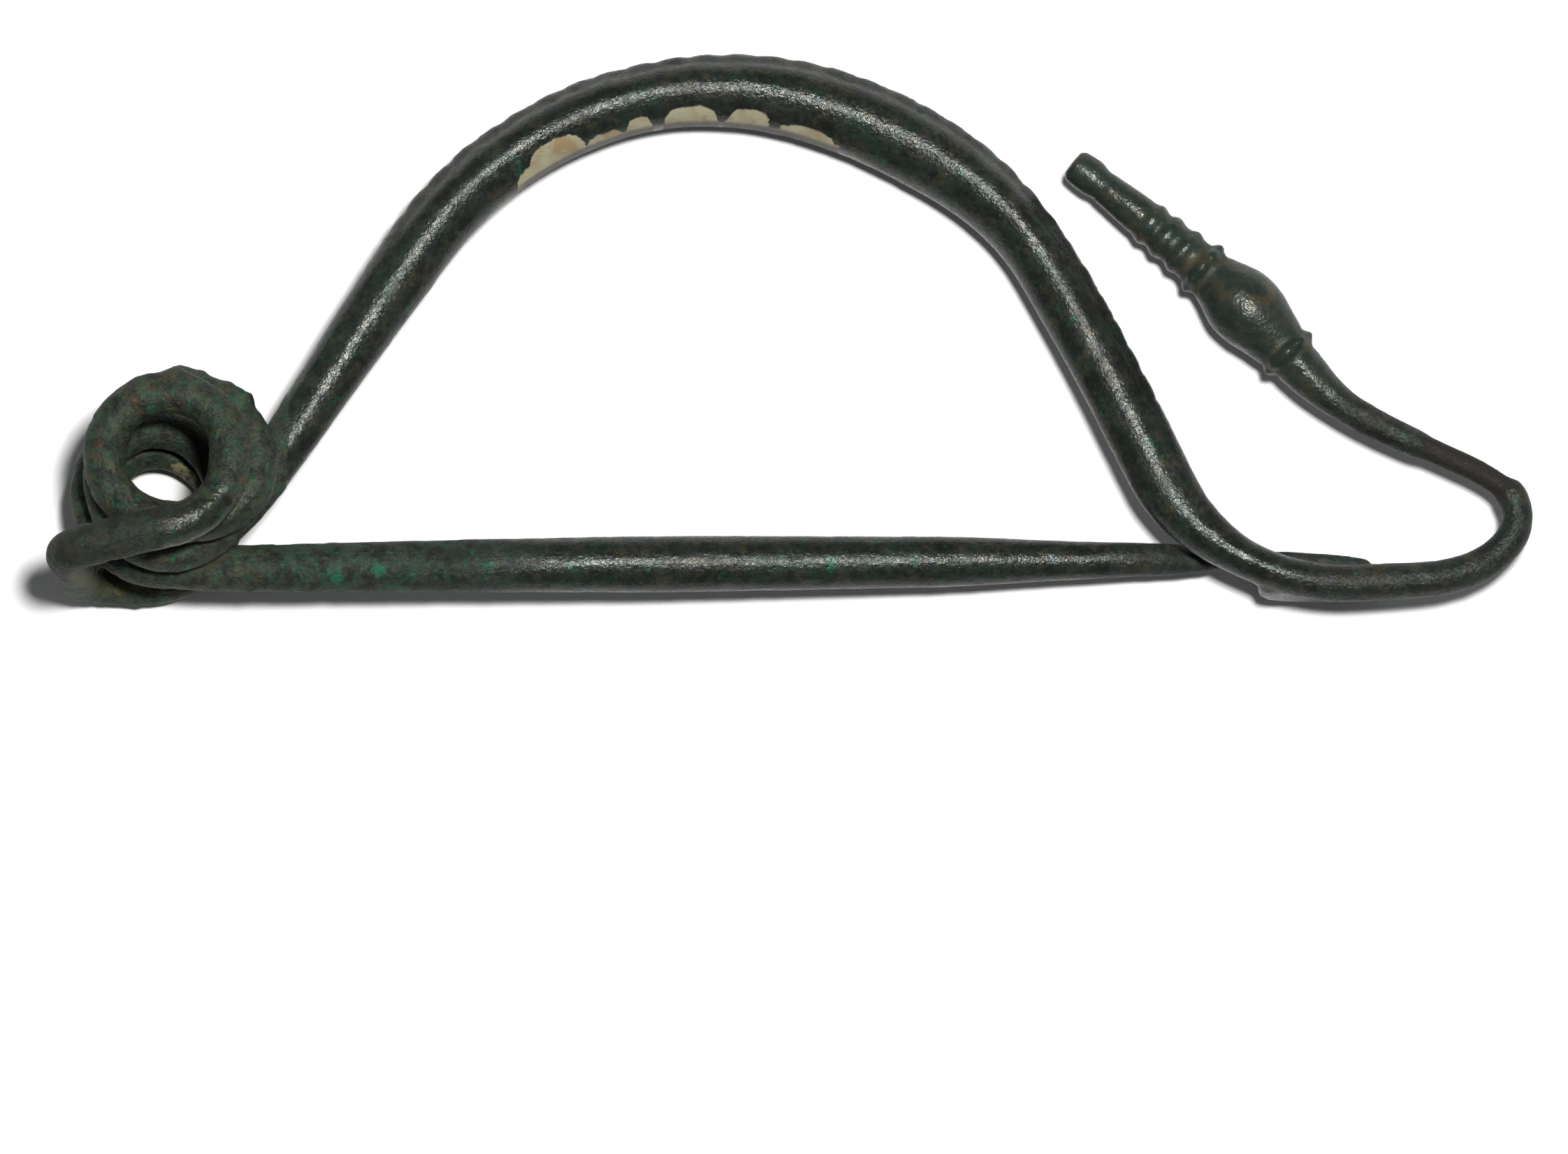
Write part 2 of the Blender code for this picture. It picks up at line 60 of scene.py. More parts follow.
camera_data = bpy.data.cameras.new("camera")
camera_data.lens = CAMERA_LENS
camera_data.sensor_width = CAMERA_SENSOR
camera = bpy.data.objects.new("camera", camera_data)
bpy.context.scene.collection.objects.link(camera)
camera_distance = VIEW_WIDTH * CAMERA_LENS / CAMERA_SENSOR
camera.location = (VIEW_MIDDLE[0], VIEW_MIDDLE[1], VIEW_HEIGHT + camera_distance)
camera_data.clip_start = 0.01
camera_data.clip_end = 10.0
bpy.context.scene.camera = camera


def soft_lamp(name, place, size, power):
    """Square area lamp at a place, turned toward the middle of the table."""
    data = bpy.data.lights.new(name, "AREA")
    data.size = size
    data.energy = power
    lamp = bpy.data.objects.new(name, data)
    lamp.location = place
    lamp.rotation_mode = "QUATERNION"
    lamp.rotation_quaternion = (-Vector(place)).to_track_quat("-Z", "Y")
    bpy.context.scene.collection.objects.link(lamp)


soft_lamp("lamp_beside_camera", place=(0.050, 0.062, 0.50), size=0.045, power=2.9)
soft_lamp("lamp_above_left", place=(-0.45, 0.30, 0.55), size=0.50, power=0.20)
soft_lamp("lamp_above_right", place=(0.50, 0.10, 0.45), size=0.50, power=0.20)

world = bpy.data.worlds.new("pale_room")
world.use_nodes = True
room = world.node_tree.nodes["Background"]
room.inputs["Color"].default_value = (0.94, 0.96, 1.0, 1.0)
room.inputs["Strength"].default_value = 0.085
bpy.context.scene.world = world
bpy.context.scene.view_settings.view_transform = "Standard"

# The table lies a hair below the brooch, so that the brooch's flats don't share its plane
TABLE_SIZE = 3.0
TABLE_BELOW = 0.00002

bpy.ops.mesh.primitive_plane_add(size=TABLE_SIZE, location=(0.0, 0.0, -TABLE_BELOW))
table = bpy.context.object
table.name = "table"
table.select_set(False)
board = bpy.data.materials.new("white_board")
board.use_nodes = True
board_shader = board.node_tree.nodes["Principled BSDF"]
board_shader.inputs["Base Color"].default_value = (0.90, 0.90, 0.89, 1.0)
board_shader.inputs["Roughness"].default_value = 0.9
board_shader.inputs["Specular IOR Level"].default_value = 0.1
table.data.materials.append(board)


# The brooch's wire
# One bronze wire, cast and then hammered round, makes pin, spring, bow, foot and returned end.
# A fine skin is grown over the frame's solid, so every ring and notch sits where the solid has it.
MM = 0.001
MERGE = 0.002 * MM
SKIN_STEP = 0.157 * MM
# The skin is let out a little, since smoothing draws it in
SKIN_LET_OUT = 0.035 * MM

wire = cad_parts["brooch"].copy()
wire.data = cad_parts["brooch"].data.copy()
wire.name = "bronze_wire"
wire.data.name = "bronze_wire"
bpy.context.scene.collection.objects.link(wire)
bpy.context.view_layer.objects.active = wire
wire.select_set(True)

bpy.ops.object.mode_set(mode="EDIT")
bpy.ops.mesh.select_all(action="SELECT")
bpy.ops.mesh.remove_doubles(threshold=MERGE)
bpy.ops.mesh.tris_convert_to_quads(face_threshold=math.radians(35.0), shape_threshold=math.radians(60.0))
bpy.ops.object.mode_set(mode="OBJECT")


def shaped_by(kind, **settings):
    """Adds a modifier with its settings to the wire and applies it."""
    modifier = wire.modifiers.new(kind.lower(), kind)
    for key, value in settings.items():
        setattr(modifier, key, value)
    bpy.ops.object.modifier_apply(modifier=modifier.name)


shaped_by("SUBSURF", levels=2, render_levels=2)
shaped_by("DISPLACE", strength=SKIN_LET_OUT, mid_level=0.0)
shaped_by("REMESH", mode="VOXEL", voxel_size=SKIN_STEP)
shaped_by("SMOOTH", factor=0.5, iterations=2)


# Places on the wire
# The smith bent the bow, foot, loop and end in one plane, as a chain of arcs. The brooch now leans
# on its far side, so the chain is laid down as the solid is, and each point of the skin finds its
# place along it, its offset toward the back of the bow and its offset toward the near side.
BOW_START = (2.82, -1.95, 0.2)
BOW_HEADING = 53.0
BOW_RUNS = ((5.6, 4.0), (9.3, -1.5), (7.0, -24.5), (13.8, -50.5), (5.8, -15.0), (6.0, -25.5),
            (10.2, -4.5), (2.9, 22.5), (7.7, 46.0), (2.7, -1.5), (2.4, 20.5), (2.3, 35.0),
            (2.3, 86.0), (2.5, 13.5), (4.0, -3.5), (4.0, -24.5), (4.6, 7.5), (6.0, 4.5), (2.8, 1.5))
BOW_END = sum(length for length, _ in BOW_RUNS)
LEAN_ABOUT_X = 8.07
LEAN_ABOUT_Y = 2.48
SPRING_MIDDLE = np.array((-27.48, -6.68, 5.14))
PIN_FROM = (0.0, -3.66, -0.99)
PIN_TO = (49.2, -2.85, -1.95)
PIN_POINTS = 500
CHAIN_STEP = 0.1
# What counts as spring, seen along its leaning axis, and as pin
SPRING_RIGHT = 5.4
SPRING_TOP = 6.2
SPRING_REACH = 7.5
SPRING_LEAN = 0.19
PIN_REACH = 1.55
PIN_BEFORE_BOW = 0.25

down = Vector((math.tan(math.radians(LEAN_ABOUT_Y)), math.tan(math.radians(LEAN_ABOUT_X)), -1.0))
laid = np.array(down.normalized().rotation_difference(Vector((0.0, 0.0, -1.0))).to_matrix())


def lying(points):
    """Points of the bow's plane, in millimetres from the spring's middle, as the brooch lies."""
    return np.asarray(points) @ laid.T + SPRING_MIDDLE


def bow_chain():
    """Middle line of the bow in its plane, with the place and the heading of each point."""
    x, y, z = BOW_START
    heading = math.radians(BOW_HEADING)
    points = [(x, y, z)]
    places = [0.0]
    headings = [heading]
    for length, turn in BOW_RUNS:
        steps = round(length / CHAIN_STEP)
        for _ in range(steps):
            heading += math.radians(turn) / steps / 2.0
            x += length / steps * math.cos(heading)
            y += length / steps * math.sin(heading)
            heading += math.radians(turn) / steps / 2.0
            points.append((x, y, z))
            places.append(places[-1] + length / steps)
            headings.append(heading)
    return np.array(points), np.array(places), np.array(headings)


def skin_arrays():
    """Points and normals of the skin, in millimetres."""
    count = len(wire.data.vertices)
    points = np.empty(count * 3)
    normals = np.empty(count * 3)
    wire.data.vertices.foreach_get("co", points)
    wire.data.vertices.foreach_get("normal", normals)
    return points.reshape(-1, 3) / MM, normals.reshape(-1, 3)


def nearest_on(chain, points):
    """Index of the chain's nearest point, and the distance to it, for each point."""
    tree = KDTree(len(chain))
    for i, point in enumerate(chain):
        tree.insert(point, i)
    tree.balance()
    found = [tree.find(point) for point in points]
    return np.array([f[1] for f in found]), np.array([f[2] for f in found])


def ease(value, start, end):
    """Smooth step from 0 at start to 1 at end."""
    share = np.clip((value - start) / (end - start), 0.0, 1.0)
    return share * share * (3.0 - 2.0 * share)


skin, normals = skin_arrays()
chain, chain_places, chain_headings = bow_chain()
nearest, bow_distance = nearest_on(lying(chain), skin)
flat = (skin - SPRING_MIDDLE) @ laid
outward = np.stack([-np.sin(chain_headings), np.cos(chain_headings)], axis=1)[nearest]
place = chain_places[nearest]
out = np.einsum("ij,ij->i", (flat - chain[nearest])[:, :2], outward)
near = flat[:, 2] - BOW_START[2]

pin_line = np.linspace(lying(PIN_FROM), lying(PIN_TO), PIN_POINTS)
pin_nearest, pin_distance = nearest_on(pin_line, skin)
pin_place = pin_nearest / (PIN_POINTS - 1.0)
from_axis = np.hypot(flat[:, 0], flat[:, 1] - SPRING_LEAN * flat[:, 2])
in_spring = (flat[:, 0] < SPRING_RIGHT) & (flat[:, 1] < SPRING_TOP) & (from_axis < SPRING_REACH)
on_pin = ~in_spring & (pin_distance < PIN_REACH) & (pin_distance < bow_distance + PIN_BEFORE_BOW)
on_bow = ~in_spring & ~on_pin
from_end = BOW_END - place


# Worn and corroded surface
# The hammer left the wire slightly faceted, and two thousand years in the ground have pitted it,
# most of all on the spring, the near end of the pin and the crest. Crusts of corrosion stand on
# the top of the spring.
def lumps(points, size, seed):
    """Smooth random field from -1 to 1 with lumps of about the given size in millimetres.

    Each corner of a cube of that size gets a number, mixed from its place by large primes, and
    each seed gives another field.
    """
    scaled = points / size + seed * 17.31
    low = np.floor(scaled).astype(np.int64)
    share = scaled - low
    share = share * share * (3.0 - 2.0 * share)
    total = np.zeros(len(points))
    for corner in range(8):
        step = np.array((corner & 1, corner >> 1 & 1, corner >> 2 & 1))
        cell = low + step
        mixed = cell[:, 0] * 73856093 ^ cell[:, 1] * 19349663 ^ cell[:, 2] * 83492791 ^ seed * 2654435
        mixed = (mixed ^ mixed >> 13) * 1274126177 & 0xFFFFFF
        mixed = (mixed ^ mixed >> 11) * 668265263 & 0xFFFFFF
        weight = np.prod(np.where(step == 1, share, 1.0 - share), axis=1)
        total += weight * (mixed / 0x7FFFFF - 1.0)
    return total


def lumps_above(points, size, seed, level):
    """The part of the field of lumps that stands above a level, from 0 to 1."""
    return np.clip((lumps(points, size, seed) - level) / (1.0 - level), 0.0, 1.0)


# Sizes and heights in millimetres of the hammer's large and small facets, of pits and crumbs, which
# are only where their field passes a level, and of the rough skin and the swellings of the spring
FACETS = ((2.6, 0.018), (1.1, 0.010))
PIT_SIZE = 0.50
PIT_DEPTH = 0.060
PIT_LEVEL = 0.30
CRUMB_SIZE = 0.62
CRUMB_HEIGHT = 0.060
CRUMB_LEVEL = 0.35
ROUGH_SIZE = 0.32
ROUGH_HEIGHT = 0.014
SWELLING_SIZE = 0.85
SWELLING_HEIGHT = 0.022
# The ring of the spring that carries the crusts, by its middle on the table and its radius, and the
# crusts, by their place on the table, reach and height
CRUSTED_RING = (-27.2, -5.5)
CRUSTED_RADIUS = 4.0
CRUSTS = (
    (-26.75, -1.60, 0.45, 0.38),
    (-26.10, -1.65, 0.35, 0.20),
    (-25.70, -1.72, 0.40, 0.18),
    (-24.50, -2.15, 0.45, 0.20),
    (-23.85, -2.50, 0.45, 0.40),
    (-23.55, -2.95, 0.35, 0.28),
    (-28.40, -2.30, 0.50, 0.08),
)

# How corroded each part is, from 0 to 1
SOUND = 0.30
PIN_ROOT_MORE = 0.50
CREST_MORE = 0.35
END_CORRODED = 0.55
END_CORRODED_TO = 15.0
# The crest fades in and out between these places on the bow, and lies this far out on it
CREST_IN = (12.0, 15.0)
CREST_OUT = (58.0, 55.0)
CREST_ABOVE = 0.9

corroded = np.where(in_spring, 1.0, SOUND)
corroded = np.where(on_pin, SOUND + PIN_ROOT_MORE * ease(pin_place, 0.42, 0.05), corroded)
crest = on_bow * ease(place, *CREST_IN) * ease(place, *CREST_OUT)
corroded = np.where(on_bow & (out > CREST_ABOVE), SOUND + CREST_MORE * crest, corroded)
corroded = np.where(on_bow & (from_end < END_CORRODED_TO), END_CORRODED, corroded)

rise = np.zeros(len(skin))
for seed, (size, height) in enumerate(FACETS, 1):
    rise += height * lumps(skin, size, seed)
rise -= PIT_DEPTH * corroded * lumps_above(skin, PIT_SIZE, seed=3, level=PIT_LEVEL)
rise += CRUMB_HEIGHT * corroded * lumps_above(skin, CRUMB_SIZE, seed=4, level=CRUMB_LEVEL)
rise += ROUGH_HEIGHT * corroded * lumps(skin, ROUGH_SIZE, seed=5)
rise += SWELLING_HEIGHT * in_spring * lumps(skin, SWELLING_SIZE, seed=9)
for x, y, reach, height in CRUSTS:
    away = np.hypot(skin[:, 0] - x, skin[:, 1] - y) / reach
    from_middle = (np.array((x, y)) - CRUSTED_RING) / CRUSTED_RADIUS
    facing = np.clip(normals[:, 0] * from_middle[0] + normals[:, 1] * from_middle[1], 0.0, 1.0)
    crumbly = 1.0 + 0.5 * lumps(skin, size=0.3, seed=6)
    rise += height * np.exp(-away ** 2) * facing * crumbly * in_spring


# Crest of the bow
# A low ridge runs along the back of the bow. Its notches were cut with a file or a chisel and are
# partly worn away, and a shallow groove follows it on each side.
GROOVE_INSIDE = 0.46
GROOVE_WIDTH = 0.16
GROOVE_DEPTH = 0.030
TOOTH_FROM = 13.0
TOOTH_PITCH = 1.34
TOOTH_HEIGHT = 0.02
TOOTH_UNEVEN = 0.05
TOOTH_INSIDE = (0.40, 0.05)


def outermost(where, share, reach, otherwise):
    """How far out the chosen skin lies along the bow, as a percentile within reach of each place."""
    found = np.zeros(len(chain_places))
    for i in range(0, len(chain_places), 5):
        there = where & (np.abs(place - chain_places[i]) < reach)
        found[i:i + 5] = np.percentile(out[there], share) if there.any() else otherwise
    return found[nearest]


inside = outermost(on_bow, share=99.0, reach=1.4, otherwise=1.0) - out
groove = np.exp(-((inside - GROOVE_INSIDE) / GROOVE_WIDTH) ** 2) * crest
rise -= GROOVE_DEPTH * groove * (0.6 + 0.4 * lumps(skin, size=2.0, seed=7))
teeth = np.clip(np.cos(2.0 * math.pi * (place - TOOTH_FROM) / TOOTH_PITCH), 0.0, 1.0) ** 4
tooth_height = TOOTH_HEIGHT + TOOTH_UNEVEN * lumps(skin, size=1.5, seed=8)
rise += crest * teeth * ease(inside, *TOOTH_INSIDE) * tooth_height


# Returned end
# Cast mouldings: two beaded collars, an egg-shaped knob between them, three low rings on the neck
# and a plain cut end. Narrow grooves set the collars and rings off.
COLLARS = (7.30, 12.60)
NECK_RINGS = (4.30, 5.20, 6.20)
BEADS_ROUND = 9
BEAD_HEIGHT = 0.05
RING_HEIGHT = 0.045
RING_WIDTH = 0.20
# Grooves on both sides of a collar and of a ring, by how far aside and how deep they are, and the
# hollow below the cut end, by its place and depth
COLLAR_GROOVES = (0.42, 0.05)
RING_GROOVES = (0.40, 0.03)
GROOVE_ACROSS = 0.16
END_HOLLOW = (1.55, 0.04)
FINIAL_FADE = (17.0, 14.0)

around = np.arctan2(near, out)
finial = on_bow * ease(from_end, *FINIAL_FADE)


def ridge(middle, width):
    """Round ridge across the returned end at a place from its cut end, 1 at its middle."""
    return finial * np.exp(-((from_end - middle) / width) ** 2)


for collar in COLLARS:
    rise += BEAD_HEIGHT * ridge(collar, RING_WIDTH) * np.cos(around * BEADS_ROUND)
for ring in NECK_RINGS:
    rise += RING_HEIGHT * ridge(ring, RING_WIDTH)
for middles, (aside, depth) in ((COLLARS, COLLAR_GROOVES), (NECK_RINGS, RING_GROOVES)):
    for middle in middles:
        rise -= depth * (ridge(middle - aside, GROOVE_ACROSS) + ridge(middle + aside, GROOVE_ACROSS))
rise -= END_HOLLOW[1] * ridge(END_HOLLOW[0], RING_WIDTH)


# Hollows and ridges
# The relief is whole, so the skin takes it, and no part of it goes below the table. Dirt stays in
# its hollows and hands have rubbed its ridges, so each point keeps how deep it lies.
skin = skin + normals * rise[:, None]
skin[:, 2] = np.maximum(skin[:, 2], 0.0)
wire.data.vertices.foreach_set("co", (skin * MM).ravel())
wire.data.update()
bpy.ops.object.shade_smooth()


def kept_on_skin(name, values):
    """Keeps a number for each point of the skin, for the patina to read."""
    layer = wire.data.attributes.new(name, "FLOAT", "POINT")
    layer.data.foreach_set("value", np.asarray(values, dtype=np.float32))


def smoothed_skin(points, rounds):
    """The skin's points averaged with their neighbours, again and again."""
    edges = np.empty(len(wire.data.edges) * 2, dtype=np.int64)
    wire.data.edges.foreach_get("vertices", edges)
    a, b = edges[0::2], edges[1::2]
    degree = np.bincount(edges, minlength=len(points))[:, None]
    for _ in range(rounds):
        sums = [
            np.bincount(a, points[b, k], len(points)) + np.bincount(b, points[a, k], len(points))
            for k in range(3)
        ]
        points = np.stack(sums, axis=1) / degree
    return points


# A point lies in a hollow where the smoothed skin passes above it
HOLLOW_ROUNDS = 14
HOLLOW_DEPTH = 0.05

_, normals = skin_arrays()
hollow = np.einsum("ij,ij->i", smoothed_skin(skin, HOLLOW_ROUNDS) - skin, normals) / HOLLOW_DEPTH
kept_on_skin("hollow", np.clip(hollow, -1.0, 1.0))


# Streaks, green spots and soils
# The drawing and hammering of the wire left fine streaks that follow it. Malachite grows in a few
# places on the pin and the spring, and earth still sits in the eye of the spring and on its far
# wire. Each mark is given by its place on the table and its reach.
GREEN_MARKS = (
    (-19.85, -10.85, 0.34),
    (-18.05, -10.51, 0.34),
    (-22.22, -10.24, 0.16),
    (-20.18, -10.54, 0.16),
    (-26.94, -10.03, 0.16),
    (-26.27, -10.39, 0.15),
    (-27.09, -10.70, 0.15),
)
OCHRE_MARKS = (
    (-26.94, -3.55, 0.28),
    (-29.46, -6.07, 0.25),
    (-31.00, -10.90, 0.50),
    (-30.20, -11.20, 0.50),
    (-29.40, -11.40, 0.40),
)
RED_MARKS = (
    (-30.22, -5.62, 0.26),
    (-30.13, -5.01, 0.20),
    (-28.55, -3.20, 0.22),
    (-27.85, -2.72, 0.16),
)
EARTH_MARKS = (
    (-26.90, -6.00, 0.30),
    (-26.55, -6.25, 0.32),
    (-26.20, -6.55, 0.26),
)


def marked(marks):
    """How far inside the nearest of the marks each point of the skin is, 1 at its middle."""
    nearness = []
    for x, y, reach in marks:
        away = ((skin[:, 0] - x) ** 2 + (skin[:, 1] - y) ** 2) / reach ** 2
        nearness.append(np.exp(-away))
    return np.max(nearness, axis=0)


# How much duller than the bow the foot and the returned end are, and between which places the pin
# is polished, as shares of its length
FOOT_DULLED = 0.55
END_DULLED = 0.10
PIN_POLISHED_FROM = (0.24, 0.38)
PIN_POLISHED_TO = (0.92, 0.80)
# The pin is green from its root to a place along it, and the spring less so
PIN_ROOT = (0.45, 0.02)
SPRING_GREENED = 0.6
# Where the spring's own colours fade out, by the distance from its axis, where the foot begins
# along the bow, and where the returned end does, by the distance from its cut end
SPRING_FADE = (6.5, 5.5)
FOOT_FROM = (64.0, 67.0)
END_FROM = (22.0, 21.0)
# The spring's nearest wire, rubbed, and its near chord, darkened as painted shade, by how near
# it lies and by how far below the spring's axis and to the right of it
RUBBED_NEAR = (2.6, 3.6)
RUBBED_BELOW = (-0.4, -1.4)
RUBBED_RIGHT = (-0.6, 1.0)
CHORD_NEAR = (2.2, 3.2)
CHORD_BELOW = (-1.0, -2.2)

kept_on_skin("spring", in_spring * ease(np.hypot(flat[:, 0], flat[:, 1]), *SPRING_FADE))
kept_on_skin("pin_root", np.where(on_pin, ease(pin_place, *PIN_ROOT), in_spring * SPRING_GREENED))
kept_on_skin("finial", finial)
kept_on_skin("green_marks", marked(GREEN_MARKS) * (on_pin | in_spring))
kept_on_skin("ochre_marks", marked(OCHRE_MARKS) * in_spring)
kept_on_skin("red_marks", marked(RED_MARKS) * in_spring)
kept_on_skin("earth_marks", marked(EARTH_MARKS) * in_spring)
length_along = np.where(on_pin, flat[:, 0], place)
height_across = np.where(on_bow, out, flat[:, 1])
along_wire = np.stack([length_along, height_across, near], axis=1)
streak_layer = wire.data.attributes.new("along_wire", "FLOAT_VECTOR", "POINT")
streak_layer.data.foreach_set("vector", along_wire.astype(np.float32).ravel())
dulled = FOOT_DULLED * ease(place, *FOOT_FROM) + END_DULLED * ease(from_end, *END_FROM)
on_pin_polished = ease(pin_place, *PIN_POLISHED_FROM) * ease(pin_place, *PIN_POLISHED_TO)
polished = np.where(on_pin, on_pin_polished, on_bow * (1.0 - dulled))
rubbed = in_spring * ease(near, *RUBBED_NEAR)
rubbed = rubbed * ease(flat[:, 1], *RUBBED_BELOW) * ease(flat[:, 0], *RUBBED_RIGHT)
kept_on_skin("polished", np.maximum(polished, rubbed))
# Painted shade on the steep near chord, kept for the patina to darken
kept_on_skin("near_chord_shade", in_spring * ease(near, *CHORD_NEAR) * ease(flat[:, 1], *CHORD_BELOW))


# Cream paint
# Remains of a cream paint cling to the underside of the bow and lap onto its near side in
# scallops. It is too thin to stand up from the metal. Each scallop is given by where it starts
# and ends along the bow and how far out its top is.
PAINT_SCALLOPS = (
    (19.85, 22.00, -1.02),
    (20.75, 23.80, -0.57),
    (23.70, 25.80, -1.15),
    (25.75, 27.15, -0.97),
    (27.60, 30.30, -0.86),
    (30.65, 32.80, -1.02),
    (33.20, 36.00, -1.33),
)
PAINT_BASE = -1.60
PAINT_FROM = 19.6
PAINT_TO = 36.3
# The paint starts a little past the bow's middle, on its far side, and off the bow there is none
PAINT_NEAR_FROM = -0.35
NO_PAINT = -2.0
# Painted shade: a grey strip of the paint along the lowest edge of the bow's near part, where the
# paint turns under into shade, with how it fades in and out at its ends and toward the far side
RIM_FROM = 19.6
RIM_TO = 37.6
RIM_FADES = (0.8, 1.5)
RIM_HEIGHT = 0.11
RIM_SOFT = 0.05
RIM_NEAR = (-0.8, -0.3)
NEAR_PART = -0.2

edge = np.full(len(place), PAINT_BASE)
for start, end, top in PAINT_SCALLOPS:
    share = np.clip(np.abs(2.0 * (place - start) / (end - start) - 1.0), 0.0, 1.0)
    edge = np.maximum(edge, PAINT_BASE + (top - PAINT_BASE) * np.sqrt(1.0 - share ** 3))
paint = np.minimum(edge - out, near - PAINT_NEAR_FROM)
paint = np.minimum(paint, np.minimum(place - PAINT_FROM, PAINT_TO - place))
kept_on_skin("paint", np.where(on_bow, paint, NO_PAINT))
# Painted shade: the paint's lowest edge, where it turns under, is kept to be painted grey
underside = outermost(on_bow & (near > NEAR_PART), share=1.0, reach=0.8, otherwise=-1.0)
paint_shade_rim = on_bow * ease(out - underside, RIM_HEIGHT + RIM_SOFT, RIM_HEIGHT - RIM_SOFT)
paint_shade_rim = paint_shade_rim * ease(place, RIM_FROM, RIM_FROM + RIM_FADES[0])
paint_shade_rim = paint_shade_rim * ease(place, RIM_TO, RIM_TO - RIM_FADES[1])
kept_on_skin("paint_shade_rim", paint_shade_rim * ease(near, *RIM_NEAR))


# Old repair
# A thinner, dull brown length of wire bridges a break in the return loop.
REPAIR_FROM = 77.9
REPAIR_TO = 82.0
# How far its brown reaches past each end, and how far inside it is full
REPAIR_PAST = 0.15
REPAIR_FULL = 0.05

repair = on_bow * ease(place, REPAIR_FROM - REPAIR_PAST, REPAIR_FROM + REPAIR_FULL)
repair = repair * ease(place, REPAIR_TO + REPAIR_PAST, REPAIR_TO - REPAIR_FULL)
kept_on_skin("repair", repair)


# Patina
# The bronze is green-black all over, polished by handling on its ridges and dull in its hollows.
# Green spots of malachite, ochre and red-brown soil and a film of olive brown lie on it.
bronze = bpy.data.materials.new("old_bronze")
bronze.use_nodes = True
nodes = bronze.node_tree.nodes
links = bronze.node_tree.links
shader = nodes["Principled BSDF"]


def group_socket(tree, name, kind, inward, value=None):
    """Named socket of a node group."""
    socket = tree.interface.new_socket(name, in_out="INPUT" if inward else "OUTPUT", socket_type=kind)
    if value is not None:
        socket.default_value = value


def spots_group():
    """Group of nodes for blotchy spots, which show where a noise is above a level.

    A higher scale makes them smaller, a higher level makes them fewer, and the softness is how far
    above the level they are whole.
    """
    tree = bpy.data.node_groups.new("spots", "ShaderNodeTree")
    group_socket(tree, "Vector", "NodeSocketVector", True)
    group_socket(tree, "Scale", "NodeSocketFloat", True, 1.0)
    group_socket(tree, "Level", "NodeSocketFloat", True, 0.6)
    group_socket(tree, "Softness", "NodeSocketFloat", True, 0.05)
    group_socket(tree, "Mask", "NodeSocketFloat", False)
    inward = tree.nodes.new("NodeGroupInput")
    outward_node = tree.nodes.new("NodeGroupOutput")
    field = tree.nodes.new("ShaderNodeTexNoise")
    field.inputs["Detail"].default_value = 5.0
    field.inputs["Roughness"].default_value = 0.62
    above = tree.nodes.new("ShaderNodeMath")
    above.operation = "ADD"
    ramp = tree.nodes.new("ShaderNodeMapRange")
    ramp.interpolation_type = "SMOOTHSTEP"
    tree.links.new(inward.outputs["Vector"], field.inputs["Vector"])
    tree.links.new(inward.outputs["Scale"], field.inputs["Scale"])
    tree.links.new(field.outputs["Fac"], ramp.inputs["Value"])
    tree.links.new(inward.outputs["Level"], ramp.inputs["From Min"])
    tree.links.new(inward.outputs["Level"], above.inputs[0])
    tree.links.new(inward.outputs["Softness"], above.inputs[1])
    tree.links.new(above.outputs[0], ramp.inputs["From Max"])
    tree.links.new(ramp.outputs["Result"], outward_node.inputs["Mask"])
    return tree


spots = spots_group()
coordinates = nodes.new("ShaderNodeTexCoord")
in_mm = nodes.new("ShaderNodeVectorMath")
in_mm.operation = "SCALE"
in_mm.inputs["Scale"].default_value = 1.0 / MM
links.new(coordinates.outputs["Object"], in_mm.inputs[0])


def spotted(offset, scale, level, softness):
    """Mask of spots of a scale, in lumps to the millimetre, a level and a softness.

    Each kind has its own offset in millimetres, so that no two kinds fall together.
    """
    moved = nodes.new("ShaderNodeVectorMath")
    moved.operation = "ADD"
    moved.inputs[1].default_value = (offset, offset * 0.7, offset * 1.3)
    links.new(in_mm.outputs["Vector"], moved.inputs[0])
    node = nodes.new("ShaderNodeGroup")
    node.node_tree = spots
    node.inputs["Scale"].default_value = scale
    node.inputs["Level"].default_value = level
    node.inputs["Softness"].default_value = softness
    links.new(moved.outputs["Vector"], node.inputs["Vector"])
    return node.outputs["Mask"]


def kept(name):
    """Number kept on the skin under a name."""
    node = nodes.new("ShaderNodeAttribute")
    node.attribute_name = name
    return node.outputs["Fac"]


def worked(operation, first, second=None, third=None):
    """Result of a math node on sockets or numbers."""
    node = nodes.new("ShaderNodeMath")
    node.operation = operation
    for socket, value in zip(node.inputs, (first, second, third)):
        if isinstance(value, bpy.types.NodeSocket):
            links.new(value, socket)
        elif value is not None:
            socket.default_value = value
    return node.outputs[0]


def between(value, low, high):
    """Smooth step of a socket from 0 at low to 1 at high."""
    node = nodes.new("ShaderNodeMapRange")
    node.interpolation_type = "SMOOTHSTEP"
    node.inputs["From Min"].default_value = low
    node.inputs["From Max"].default_value = high
    links.new(value, node.inputs["Value"])
    return node.outputs["Result"]


def laid_over(below, above, mask, strength=1.0):
    """Colour above laid over colour below where the mask is 1, as strongly as is given."""
    if strength < 1.0:
        mask = worked("MULTIPLY", mask, strength)
    node = nodes.new("ShaderNodeMix")
    node.data_type = "RGBA"
    links.new(mask, node.inputs["Factor"])
    for socket, value in ((node.inputs["A"], below), (node.inputs["B"], above)):
        if isinstance(value, bpy.types.NodeSocket):
            links.new(value, socket)
        else:
            socket.default_value = (*value, 1.0)
    return node.outputs["Result"]


